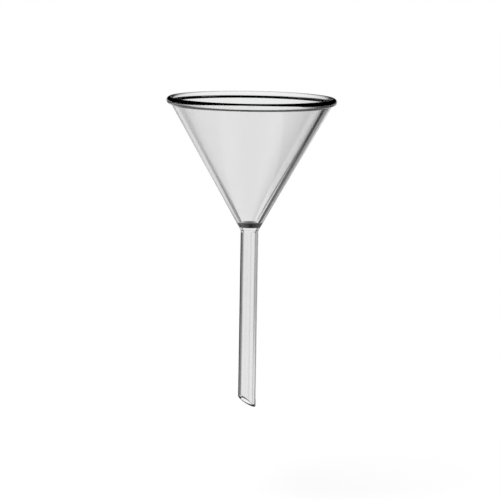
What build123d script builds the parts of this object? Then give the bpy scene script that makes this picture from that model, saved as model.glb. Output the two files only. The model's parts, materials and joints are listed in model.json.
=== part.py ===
"""Conical laboratory funnel, blown and drawn from one piece of clear glass.

A cone of nearly 60 degrees runs down into a straight stem. The mouth is melted into a bead that is flush
inside and stands proud outside. Inside the throat a steep collar leads to a shoulder over the bore. The
stem ends in an oblique cut, so that the last drop runs off its low side.

The axis is Z. The origin is on the axis at the top of the straight stem: the throat and the cone are above
it and the stem is below it. All lengths are in millimetres.
"""
from build123d import *
import os
from math import cos, degrees, radians, sin, tan

# Mouth and cone
rim_diameter = 100.6        # across the outside of the bead
bead_diameter = 4.2         # the round edge of the mouth
bead_underside = 35.0       # slope of the bead's underside from the cone, in degrees
cone_angle = 59.0           # included angle, in degrees
cone_wall = 2.6             # square to the slope

# Stem
stem_diameter = 10.6
stem_bore = 6.8
stem_length = 105.8         # origin to the low side of the tip

# Throat
throat_hollow = 3.0         # outside, between the cone and the stem
collar_height = 5.6         # top of the collar above the outer corner of the throat
collar_length = 3.4         # the collar from top to foot
collar_foot_share = 0.72    # reach of the collar's foot, from the bore towards the collar's top
collar_round = 1.5          # at the top and the foot of the collar
bore_round = 4.0            # from the shoulder into the bore

# Tip
tip_bevel = 30.0            # the cut's slope from square, in degrees
tip_low_side = -9.5         # the way the low side faces, in degrees from +X towards +Y
tip_round = 0.6             # melted edges of the cut
tip_round_limit_share = 0.4     # of the stem's wall

cut_overrun = 5.0
half_turn = 180.0

# Sizes that follow from those above
half_angle = radians(cone_angle / 2)
stem_radius = stem_diameter / 2
bore_radius = stem_bore / 2
stem_wall = stem_radius - bore_radius
wall_across = cone_wall / cos(half_angle)
stem_foot = -stem_length - cut_overrun

# Corners of the throat before they are rounded, as radius and height
throat_corner = throat_hollow * tan(half_angle / 2)
outer_throat = (stem_radius, throat_corner)
collar_top = (
    stem_radius - wall_across + collar_height * tan(half_angle),
    throat_corner + collar_height,
)
collar_foot = (
    bore_radius + (collar_top[0] - bore_radius) * collar_foot_share,
    collar_top[1] - collar_length,
)
bore_top = (bore_radius, collar_foot[1] - (collar_foot[0] - bore_radius) / tan(half_angle))

# The bead touches the inside of the cone, and its underside slopes in to the outside of the cone
bead_radius = bead_diameter / 2
bead_reach = rim_diameter / 2 - bead_radius
bead_inset = bead_radius / cos(half_angle)
bead_height = throat_corner + (bead_reach - bead_inset - stem_radius + wall_across) / tan(half_angle)
bead_centre = (bead_reach, bead_height)
inner_end = (bead_reach - bead_radius * cos(half_angle), bead_height + bead_radius * sin(half_angle))
underside = radians(bead_underside)
bead_end = (
    bead_reach + bead_radius * cos(half_angle + underside),
    bead_height - bead_radius * sin(half_angle + underside),
)
wall_out = cone_wall - bead_radius
wall_down = bead_radius * sin(underside) + (bead_radius * cos(underside) - wall_out) / tan(underside)
outer_end = (
    bead_reach + wall_out * cos(half_angle) - wall_down * sin(half_angle),
    bead_height - wall_out * sin(half_angle) - wall_down * cos(half_angle),
)

# The cut through the tip, its normal pointing up into the stem
bevel = radians(tip_bevel)
low_side = radians(tip_low_side)
tip_plane = Plane(
    origin=(0, 0, stem_radius * tan(bevel) - stem_length),
    x_dir=(-sin(low_side), cos(low_side), 0),
    z_dir=(sin(bevel) * cos(low_side), sin(bevel) * sin(low_side), cos(bevel)),
)

# The funnel: one wall revolved about the axis, then cut off aslant at the tip
with BuildPart() as funnel:
    with BuildSketch(Plane.XZ) as wall:
        with BuildLine():
            Polyline(
                inner_end,
                collar_top,
                collar_foot,
                bore_top,
                (bore_radius, stem_foot),
                (stem_radius, stem_foot),
                outer_throat,
                outer_end,
                bead_end,
            )
            CenterArc(
                bead_centre,
                bead_radius,
                start_angle=-degrees(half_angle + underside),
                arc_size=half_turn + bead_underside,
            )
        make_face()
        fillet(wall.vertices().sort_by_distance(outer_throat)[0], throat_hollow)
        fillet(wall.vertices().sort_by_distance(collar_top)[0], collar_round)
        fillet(wall.vertices().sort_by_distance(collar_foot)[0], collar_round)
        fillet(wall.vertices().sort_by_distance(bore_top)[0], bore_round)
    revolve(axis=Axis.Z)
    split(bisect_by=tip_plane, keep=Keep.TOP)
    tip_face = funnel.faces().sort_by(Axis.Z)[0]
    fillet(tip_face.edges(), min(tip_round, stem_wall * tip_round_limit_share))

funnel.part.label = "funnel"
os.makedirs("parts", exist_ok=True)
export_step(funnel.part, "parts/funnel.step")
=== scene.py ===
"""A clear glass laboratory funnel, held mouth up as it is in use, before a white studio ground."""
import json
from math import atan2, cos, pi, radians, sin, sqrt, tan

import bpy
import numpy as np
from mathutils import Matrix, Vector


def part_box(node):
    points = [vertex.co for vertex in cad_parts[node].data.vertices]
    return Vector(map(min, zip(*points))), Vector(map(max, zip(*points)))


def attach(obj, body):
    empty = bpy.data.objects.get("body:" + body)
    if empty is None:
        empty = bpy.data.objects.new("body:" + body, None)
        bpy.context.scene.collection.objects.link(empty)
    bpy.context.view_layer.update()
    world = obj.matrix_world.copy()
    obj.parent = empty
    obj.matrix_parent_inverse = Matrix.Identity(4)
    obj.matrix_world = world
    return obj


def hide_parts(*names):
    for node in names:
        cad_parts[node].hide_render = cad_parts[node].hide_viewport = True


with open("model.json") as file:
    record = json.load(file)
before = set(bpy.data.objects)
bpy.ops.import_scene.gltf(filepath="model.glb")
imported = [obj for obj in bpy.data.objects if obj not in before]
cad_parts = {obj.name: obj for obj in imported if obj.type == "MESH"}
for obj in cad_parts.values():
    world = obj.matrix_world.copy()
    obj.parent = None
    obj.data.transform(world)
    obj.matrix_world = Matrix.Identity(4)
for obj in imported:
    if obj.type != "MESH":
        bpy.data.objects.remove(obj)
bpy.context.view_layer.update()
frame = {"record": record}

MM = 0.001

# Sizes of the glass in metres: the frame gives the mouth, the stem and the bore
mounts = {mount["name"]: mount["dims"] for mount in frame["record"]["mounts"]}
rim_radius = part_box("funnel")[1].x
stem_radius = mounts["stem"]["r_mm"] * MM
bore_radius = mounts["stem_bore"]["r_mm"] * MM
stem_length = 105.6 * MM            # origin to the low side of the tip, before its edges are melted
half_angle = radians(29.5)
cone_wall = 2.6 * MM
bead_radius = 2.1 * MM
bead_blend = 1.0 * MM               # the hollow between the bead and the outside of the cone
throat_hollow = 3.0 * MM
collar_height = 5.6 * MM
collar_length = 3.4 * MM
collar_foot_radius = 4.9 * MM
collar_round = 1.5 * MM
bore_round = 4.0 * MM
tip_bevel = radians(30.0)
tip_low_side = radians(-9.5)
tip_round = 0.6 * MM
tip_slide_height = 14.0 * MM        # how far up the stem its rows lean with the cut

# Heights that follow from those sizes: the outer corner of the throat, and the middle of the cut at the tip
corner_height = throat_hollow * tan(half_angle / 2)
foot_height = stem_radius * tan(tip_bevel) - stem_length

# How finely the glass is divided
turn_steps = 288
leg_steps = 26
arc_steps = 14
bead_steps = 56
under_rows = 30                     # rows of the lip, from the cone's side, that are its underside

# The glass, and how dark the shade painted on its edges is
glass_ior = 1.47
glass_density = 8.0
glass_tints = (0.9, 0.93)
lip_tint = 0.99
# The near-black of the shade painted on the glass's edges
painted_shade_grey = 0.004
streak_scale = 90.0
streak_stretch = 0.1
side_width = 4.0 * MM               # each way from the middle, where the painted shade of the left side runs into that of the right
# How much wider the painted edge shade is at the left foot and at the right top of the inside of the cone
foot_widening = 0.18
top_widening = 0.05

# How glancing the view is, from 0 to 1, where the painted shade on each edge starts and where it is darkest
inner_glancing = (0.64, 0.84)
lip_glancing = (0.35, 0.85)
under_glancing = (0.1, 0.48)
stem_glancing = (0.34, 0.6)

# Share of the way down the inside of the cone where its foot starts, and where it is wholly foot
foot_depth = (0.3, 0.95)

# Heights in the studio, in degrees above the horizon: in each pair, one band of grey runs into the next
ceiling_edge = (-2.0, 5.0)
card_top = (-12.1, -11.3)
card_foot = (-14.8, -13.8)
floor_edge = (-29.0, -25.0)
cone_foot_edge = (-16.2, -14.8)
cone_edge = (-13.2, -12.6)
stem_foot_edge = (-11.0, -9.0)
flags_edge = (-7.0, -5.5)
turned_ceiling_edge = (4.0, 10.0)

# Greys of the studio, each with its bearing in degrees to the right of straight ahead: first what is seen
# through the glass
ground_greys = [(1.5, 1.0), (3.6, 0.88), (5.4, 0.8), (6.6, 1.0)]
card_greys = [(11.2, 1.0), (12.2, 0.3), (14.4, 0.3), (15.6, 1.0)]

# What the outside of the glass mirrors
mirrored_floor_greys = [(-60, 1.0), (-20, 0.4), (20, 0.4), (60, 1.0)]
mirrored_cone_greys = [
    (-10, 0.9), (8, 0.9), (16, 0.9), (20, 0.8), (24, 0.15), (30, 0.4), (34, 0.3), (40, 0.05),
]
mirrored_stem_greys = [(-60, 0.5), (-45, 0.1), (-17, 0.04), (-12, 0.85), (2, 0.9), (60, 0.8)]

# What the wall turns back from within, from low to high
cone_foot_greys = [
    (-53, 0.5), (-46, 0.35), (-43, 0.08), (-39, 0.3), (-35, 0.65), (-26, 0.8), (0, 0.85),
    (8, 0.95), (16, 0.85), (20, 0.5), (25, 0.3), (28, 0.15), (31, 0.05), (34, 0.03),
]
cone_top_greys = [
    (-53, 0.5), (-26, 0.8), (0, 0.85), (7, 0.8), (11, 0.45), (16, 0.26), (22, 0.15), (33, 0.06),
]
stem_foot_greys = [
    (-54, 0.7), (-50, 0.4), (-46, 0.05), (-36.5, 0.05), (-34, 0.35), (-24, 0.35), (-18, 0.05), (-12, 0.1),
    (-10, 0.7), (-7, 0.7), (-4, 0.05), (4, 0.05), (8, 0.8), (30, 0.9), (60, 0.75), (90, 0.8),
]
stem_top_greys = [
    (-52, 0.6), (-47, 0.4), (-43, 0.06), (-36.5, 0.06), (-34, 0.35), (-24, 0.35), (-18, 0.06), (-12, 0.1),
    (-10, 0.7), (-7, 0.7), (-4, 0.06), (4, 0.05), (8, 0.52), (40, 0.5), (62, 0.42), (90, 0.45),
]
upper_greys = [(-10, 0.95), (6, 0.12), (12, 0.04)]

# The table and the lamp, in metres
table_radius = 0.2
table_height = -0.165
table_white = 0.9
table_matt_share = 0.15
lamp_watts = 30.0
lamp_size = 0.8
lamp_place = Vector((-0.3, -0.3, 1.0))

# The camera, from the photograph's outline
picture_side = 500
focal_pixels = 2529.0
sensor_width = 36.0
camera_distance = 1.5
camera_elevation = radians(7.97)
camera_roll = radians(0.95)
aim_right = 0.433 * MM
aim_below_throat = 11.8 * MM


def unit(vector):
    """A vector of length one."""
    return vector / np.linalg.norm(vector)


def leg_shares():
    """Places along a leg from 0 to 1, spaced by a cosine so that they lie closer together at both
    ends."""
    return (1 - np.cos(np.linspace(0, pi, leg_steps))) / 2


def straight(start, end):
    """Points on a straight leg: its start plus a share of the way to its end."""
    return start + leg_shares()[:, None] * (end - start)


def arc(centre, radius, first, last, count=arc_steps):
    """Points on an arc from one angle to another about its centre."""
    angle = np.linspace(first, last, count)
    return centre + radius * np.stack([np.cos(angle), np.sin(angle)], -1)


def bend(before, corner, after, radius):
    """Points on the arc that touches both legs of a corner: its centre lies on the corner's bisector."""
    back = unit(before - corner)
    on = unit(after - corner)
    half = np.arccos(back @ on) / 2
    centre = corner + unit(back + on) * radius / np.sin(half)
    first = np.arctan2(*(corner + back * radius / np.tan(half) - centre)[::-1])
    last = np.arctan2(*(corner + on * radius / np.tan(half) - centre)[::-1])
    sweep = (last - first + pi) % (2 * pi) - pi
    return arc(centre, radius, first, first + sweep)


def beaded_lip():
    """The mouth's lip in radius and height: a hollow blend from the outer wall, then the bead, which
    touches the inner wall. Both arcs are drawn square to the wall, with the bead's centre at zero, and
    then laid along the slope."""
    face = cone_wall - bead_radius
    drop = sqrt((bead_radius + bead_blend) ** 2 - (face + bead_blend) ** 2)
    touch = atan2(drop, face + bead_blend)
    blend = arc(np.array([face + bead_blend, -drop]), bead_blend, pi, pi - touch)
    bead = arc(np.zeros(2), bead_radius, -touch, pi, bead_steps)
    lip = np.concatenate([blend[:-1], bead])
    reach = rim_radius - bead_radius
    height = corner_height + (reach + face / cos(half_angle) - stem_radius) / tan(half_angle)
    across = np.array([cos(half_angle), -sin(half_angle)])
    up_slope = np.array([sin(half_angle), cos(half_angle)])
    return np.array([reach, height]) + lip[:, :1] * across + lip[:, 1:] * up_slope


def wall_section():
    """The closed outline of the glass wall in radius and height, with a square tip: up the outside of the
    stem and the cone, over the beaded lip, and down the inside of the cone, the collar, the shoulder and
    the bore. Also returns weights for the glass, row by row, which place its lip tint and painted edge
    shade: the lip and its underside, the inside of the cone, the collar and the bore, the depth down the
    inside of the cone, and the outside of the stem."""
    wall_across = cone_wall / cos(half_angle)
    slope = np.array([sin(half_angle), cos(half_angle)])
    outer_foot = np.array([stem_radius, foot_height])
    inner_foot = np.array([bore_radius, foot_height])
    outer_throat = np.array([stem_radius, corner_height])
    collar_top = np.array([
        stem_radius - wall_across + collar_height * tan(half_angle),
        corner_height + collar_height,
    ])
    collar_foot = np.array([collar_foot_radius, collar_top[1] - collar_length])
    shoulder_drop = (collar_foot_radius - bore_radius) / tan(half_angle)
    bore_top = np.array([bore_radius, collar_foot[1] - shoulder_drop])

    # Each turn of the outline, with the weights of its own rows and those of the straight leg that follows it
    mouth = beaded_lip()
    lip = {"lip": 1, "under": np.arange(len(mouth) - 1) < under_rows}
    cone = {"inner": 1, "depth": leg_shares()[:-1]}
    collar = {"inner": 1, "depth": 1}
    turns = [
        (bend(inner_foot, outer_foot, outer_throat, tip_round), {}, {"stem": 1}),
        (bend(outer_foot, outer_throat, outer_throat + slope, throat_hollow), {}, {}),
        (mouth, lip, cone),
        (bend(collar_top + slope, collar_top, collar_foot, collar_round), collar, collar),
        (bend(collar_top, collar_foot, bore_top, collar_round), collar, collar),
        (bend(collar_foot, bore_top, inner_foot, bore_round), {}, {"inner": 1}),
        (bend(bore_top, inner_foot, outer_foot, tip_round), {}, {}),
    ]
    rows = []
    weights = {name: [] for name in ("lip", "under", "inner", "depth", "stem")}
    for (turn, on_turn, on_leg), (next_turn, _, _) in zip(turns, turns[1:] + turns[:1]):
        leg = straight(turn[-1], next_turn[0])
        for points, values in ((turn, on_turn), (leg, on_leg)):
            rows.append(points[:-1])
            for name, parts in weights.items():
                parts.append(np.zeros(len(points) - 1) + values.get(name, 0))
    return np.concatenate(rows), {name: np.concatenate(parts) for name, parts in weights.items()}


def funnel_surface():
    """The section turned about Z, point (r cos t, r sin t, z), with the foot of the stem slid down its
    own walls by r tan(bevel) cos(t - low side), which is the oblique cut. Returns the points, the quads
    and the weights of the points."""
    section, weights = wall_section()
    angle = np.linspace(0, 2 * pi, turn_steps, endpoint=False)
    radius = section[:, :1]
    height = section[:, 1:]
    share = np.clip((foot_height + tip_slide_height - height) / (tip_slide_height - 2 * tip_round), 0, 1)
    slide = share * share * (3 - 2 * share)
    points = np.stack([
        radius * np.cos(angle),
        radius * np.sin(angle),
        height - slide * radius * tan(tip_bevel) * np.cos(angle - tip_low_side),
    ], -1)
    rows, columns = points.shape[:2]
    row, column = np.meshgrid(np.arange(rows), np.arange(columns), indexing="ij")
    next_row = (row + 1) % rows
    next_column = (column + 1) % columns
    quads = np.stack([
        row * columns + column,
        row * columns + next_column,
        next_row * columns + next_column,
        next_row * columns + column,
    ], -1)
    weights = {name: np.repeat(weight, columns) for name, weight in weights.items()}
    return points.reshape(-1, 3), quads.reshape(-1, 4), weights


def smooth_piece(name, points, quads, weights, material):
    """A smooth-shaded mesh object of those points and quads, at the origin, with its weights as
    attributes."""
    mesh = bpy.data.meshes.new(name)
    mesh.from_pydata(points.tolist(), [], quads.tolist())
    mesh.polygons.foreach_set("use_smooth", np.ones(len(quads), bool))
    for weight_name, weight in weights.items():
        mesh.attributes.new(weight_name, "FLOAT", "POINT").data.foreach_set("value", weight)
    mesh.materials.append(material)
    piece = bpy.data.objects.new(name, mesh)
    bpy.context.scene.collection.objects.link(piece)
    return piece


def grey(value):
    """A grey as a colour."""
    return (value, value, value, 1)


def feed(tree, value, socket):
    """Feeds a socket from another socket, or with a number: a grey, where the socket takes a colour."""
    if isinstance(value, bpy.types.NodeSocket):
        tree.links.new(value, socket)
    elif socket.type == "RGBA":
        socket.default_value = grey(value)
    else:
        socket.default_value = value


def mixed(tree, factor, first, second):
    """One colour over another by a factor that is held between 0 and 1."""
    node = tree.nodes.new("ShaderNodeMix")
    node.data_type = "RGBA"
    feed(tree, factor, node.inputs[0])
    feed(tree, first, node.inputs[6])
    feed(tree, second, node.inputs[7])
    return node.outputs[2]


def step_up(tree, value, edge):
    """A smooth step from 0 at the edge's first value to 1 at its second."""
    node = tree.nodes.new("ShaderNodeMapRange")
    node.interpolation_type = "SMOOTHSTEP"
    node.inputs["From Min"].default_value, node.inputs["From Max"].default_value = edge
    tree.links.new(value, node.inputs["Value"])
    return node.outputs[0]


def calculated(tree, operation, *terms):
    """What a Math node gives for its terms."""
    node = tree.nodes.new("ShaderNodeMath")
    node.operation = operation
    for term, socket in zip(terms, node.inputs):
        feed(tree, term, socket)
    return node.outputs[0]


def product(tree, first, *others):
    """All the factors multiplied."""
    result = first
    for factor in others:
        result = calculated(tree, "MULTIPLY", result, factor)
    return result


def remainder(tree, share):
    """What a share leaves of 1."""
    return calculated(tree, "SUBTRACT", 1, share)


def ramp(tree, stops):
    """A colour ramp of greys at the given bearings: a bearing lies at half of one plus its sine."""
    node = tree.nodes.new("ShaderNodeValToRGB")
    elements = node.color_ramp.elements
    while len(elements) < len(stops):
        elements.new(0.5)
    for element, (bearing, value) in zip(elements, stops):
        element.position = (1 + sin(radians(bearing))) / 2
        element.color = grey(value)
    return node


def weight_of(tree, name):
    """A weight stored with the piece."""
    node = tree.nodes.new("ShaderNodeAttribute")
    node.attribute_name = name
    return node.outputs["Fac"]


def drawn_streaks(tree):
    """A faint unevenness, long in the direction in which the glass was drawn."""
    stretch = tree.nodes.new("ShaderNodeMapping")
    stretch.inputs["Scale"].default_value = (1, 1, streak_stretch)
    tree.links.new(tree.nodes.new("ShaderNodeTexCoord").outputs["Object"], stretch.inputs["Vector"])
    noise = tree.nodes.new("ShaderNodeTexNoise")
    noise.inputs["Scale"].default_value = streak_scale
    tree.links.new(stretch.outputs[0], noise.inputs["Vector"])
    return noise.outputs[0]


def clear_glass():
    """Clear colourless glass with faint streaks. Shade is painted on its edges, darkest at a glancing
    angle: the lip and its underside, the inside of the cone and the bore, and the left of the stem. Inside
    the cone the painted shade on the right edge is dark all the way and a little wider at the top, and on
    the left edge it grows darker and wider towards the throat, so the two sides carry different painted
    shade."""
    material = bpy.data.materials.new("clear_glass")
    material.use_nodes = True
    tree = material.node_tree
    shader = tree.nodes["Principled BSDF"]
    shader.inputs["Roughness"].default_value = 0.0
    shader.inputs["IOR"].default_value = glass_ior
    shader.inputs["Transmission Weight"].default_value = 1.0
    absorption = tree.nodes.new("ShaderNodeVolumeAbsorption")
    absorption.inputs["Color"].default_value = grey(0.0)
    absorption.inputs["Density"].default_value = glass_density
    tree.links.new(absorption.outputs[0], tree.nodes["Material Output"].inputs["Volume"])

    # Where a point of the glass lies, and how glancing the view of it is
    facing = tree.nodes.new("ShaderNodeLayerWeight").outputs["Facing"]
    outside = remainder(tree, tree.nodes.new("ShaderNodeNewGeometry").outputs["Backfacing"])
    place = tree.nodes.new("ShaderNodeSeparateXYZ")
    tree.links.new(tree.nodes.new("ShaderNodeTexCoord").outputs["Object"], place.inputs[0])
    # Painted shade: the object's right and left sides are darkened differently, as the studio's light fell on
    # them
    right = step_up(tree, place.outputs["X"], (-side_width, side_width))
    left = remainder(tree, right)
    depth = weight_of(tree, "depth")
    foot = step_up(tree, depth, foot_depth)
    top = remainder(tree, foot)
    lip = weight_of(tree, "lip")

    # How far painted shade darkens each edge
    widened = calculated(tree, "MULTIPLY_ADD", product(tree, left, foot), foot_widening, facing)
    widened = calculated(tree, "MULTIPLY_ADD", product(tree, right, top), top_widening, widened)
    inner_share = calculated(tree, "MULTIPLY_ADD", left, depth, right)
    inner_glance = step_up(tree, widened, inner_glancing)
    edges = [
        product(tree, lip, step_up(tree, facing, lip_glancing)),
        # Painted shade in the crease under the lip, seen from outside
        product(tree, weight_of(tree, "under"), outside, step_up(tree, facing, under_glancing)),
        product(tree, weight_of(tree, "stem"), left, step_up(tree, facing, stem_glancing)),
        product(tree, weight_of(tree, "inner"), inner_share, inner_glance),
    ]
    tint = mixed(tree, drawn_streaks(tree), *glass_tints)
    tint = mixed(tree, lip, tint, lip_tint)
    for edge in edges:
        tint = mixed(tree, edge, tint, painted_shade_grey)
    tree.links.new(tint, shader.inputs["Base Color"])
    return material


def studio_world():
    """A white studio with a dark ceiling. A view straight through the glass meets the white ground, with
    a small grey card low on the right. What the outside of the glass mirrors, and what its wall turns
    back from within, are grey flags that stand round the table. The camera itself sees plain white."""
    world = bpy.data.worlds.new("studio")
    world.use_nodes = True
    bpy.context.scene.world = world
    tree = world.node_tree
    path = tree.nodes.new("ShaderNodeLightPath")
    direction = tree.nodes.new("ShaderNodeTexCoord").outputs["Generated"]
    upward = tree.nodes.new("ShaderNodeSeparateXYZ")
    tree.links.new(direction, upward.inputs[0])
    level = tree.nodes.new("ShaderNodeVectorMath")
    level.operation = "MULTIPLY"
    level.inputs[1].default_value = (1, 1, 0)
    tree.links.new(direction, level.inputs[0])
    bearing = tree.nodes.new("ShaderNodeVectorMath")
    bearing.operation = "NORMALIZE"
    tree.links.new(level.outputs[0], bearing.inputs[0])
    sideways = tree.nodes.new("ShaderNodeSeparateXYZ")
    tree.links.new(bearing.outputs[0], sideways.inputs[0])
    across = tree.nodes.new("ShaderNodeMapRange")
    across.inputs["From Min"].default_value = -1
    tree.links.new(sideways.outputs["X"], across.inputs["Value"])

    def by_bearing(stops):
        """The grey at the ray's bearing."""
        node = ramp(tree, stops)
        tree.links.new(across.outputs[0], node.inputs[0])
        return node.outputs[0]

    def above(edge):
        """How far the ray has risen over an edge between two bands."""
        return step_up(tree, upward.outputs["Z"], [sin(radians(angle)) for angle in edge])

    through = mixed(tree, above(card_top), by_bearing(card_greys), by_bearing(ground_greys))
    through = mixed(tree, above(card_foot), 1.0, through)
    through = mixed(tree, above(ceiling_edge), through, 0.0)

    mirrored_cone = by_bearing(mirrored_cone_greys)
    mirrored = mixed(tree, above(floor_edge), by_bearing(mirrored_floor_greys), mirrored_cone)
    mirrored = mixed(tree, above(cone_edge), mirrored, by_bearing(mirrored_stem_greys))
    mirrored = mixed(tree, above(flags_edge), mirrored, mirrored_cone)
    mirrored = mixed(tree, above(ceiling_edge), mirrored, 0.0)

    cone = mixed(tree, above(cone_foot_edge), by_bearing(cone_foot_greys), by_bearing(cone_top_greys))
    stem = mixed(tree, above(stem_foot_edge), by_bearing(stem_foot_greys), by_bearing(stem_top_greys))
    turned = mixed(tree, above(cone_edge), cone, stem)
    turned = mixed(tree, above(flags_edge), turned, by_bearing(upper_greys))
    turned = mixed(tree, above(turned_ceiling_edge), turned, 0.0)

    mirrorings = path.outputs["Glossy Depth"]
    studio = mixed(tree, mirrorings, through, mirrored)
    studio = mixed(tree, product(tree, mirrorings, path.outputs["Transmission Depth"]), studio, turned)
    studio = mixed(tree, path.outputs["Is Camera Ray"], studio, 1.0)
    tree.links.new(studio, tree.nodes["Background"].inputs["Color"])


def white_table():
    """A round white table top under the tip, points (r cos t, r sin t) at one height: most of its white
    is its own, and the rest takes the shadow."""
    angle = np.linspace(0, 2 * pi, turn_steps, endpoint=False)
    rim = np.stack([table_radius * np.cos(angle), table_radius * np.sin(angle), 0 * angle + table_height], -1)
    mesh = bpy.data.meshes.new("table")
    mesh.from_pydata(rim.tolist(), [], [list(range(turn_steps))])
    material = bpy.data.materials.new("table_white")
    material.use_nodes = True
    tree = material.node_tree
    own = tree.nodes.new("ShaderNodeEmission")
    matt = tree.nodes.new("ShaderNodeBsdfDiffuse")
    matt.inputs["Color"].default_value = grey(table_white)
    both = tree.nodes.new("ShaderNodeMixShader")
    both.inputs[0].default_value = table_matt_share
    tree.links.new(own.outputs[0], both.inputs[1])
    tree.links.new(matt.outputs[0], both.inputs[2])
    tree.links.new(both.outputs[0], tree.nodes["Material Output"].inputs["Surface"])
    mesh.materials.append(material)
    table = bpy.data.objects.new("table", mesh)
    table.visible_glossy = False
    bpy.context.scene.collection.objects.link(table)


def soft_lamp():
    """A large soft lamp overhead, aimed at the origin and not seen in the glass."""
    data = bpy.data.lights.new("lamp", "AREA")
    data.shape = "DISK"
    data.size = lamp_size
    data.energy = lamp_watts
    lamp = bpy.data.objects.new("lamp", data)
    lamp.location = lamp_place
    lamp.rotation_euler = lamp_place.to_track_quat("Z", "Y").to_euler()
    lamp.visible_glossy = False
    lamp.visible_transmission = False
    bpy.context.scene.collection.objects.link(lamp)


def photograph_camera():
    """A camera at the photograph's angle: from the front and a little above, rolled slightly."""
    aim = Vector((aim_right, 0, corner_height - aim_below_throat))
    back = Vector((0, -cos(camera_elevation), sin(camera_elevation)))
    level = Vector((1, 0, 0))
    rise = back.cross(level)
    right = level * cos(camera_roll) + rise * sin(camera_roll)
    up = rise * cos(camera_roll) - level * sin(camera_roll)
    data = bpy.data.cameras.new("camera")
    data.sensor_width = sensor_width
    data.lens = focal_pixels / picture_side * sensor_width
    camera = bpy.data.objects.new("camera", data)
    turn = Matrix((right, up, back)).transposed().to_4x4()
    camera.matrix_world = Matrix.Translation(aim + back * camera_distance) @ turn
    bpy.context.scene.collection.objects.link(camera)
    bpy.context.scene.camera = camera


funnel = smooth_piece("funnel_glass", *funnel_surface(), clear_glass())
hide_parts("funnel")
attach(funnel, "root")
studio_world()
white_table()
soft_lamp()
photograph_camera()
bpy.context.scene.view_settings.view_transform = "Standard"
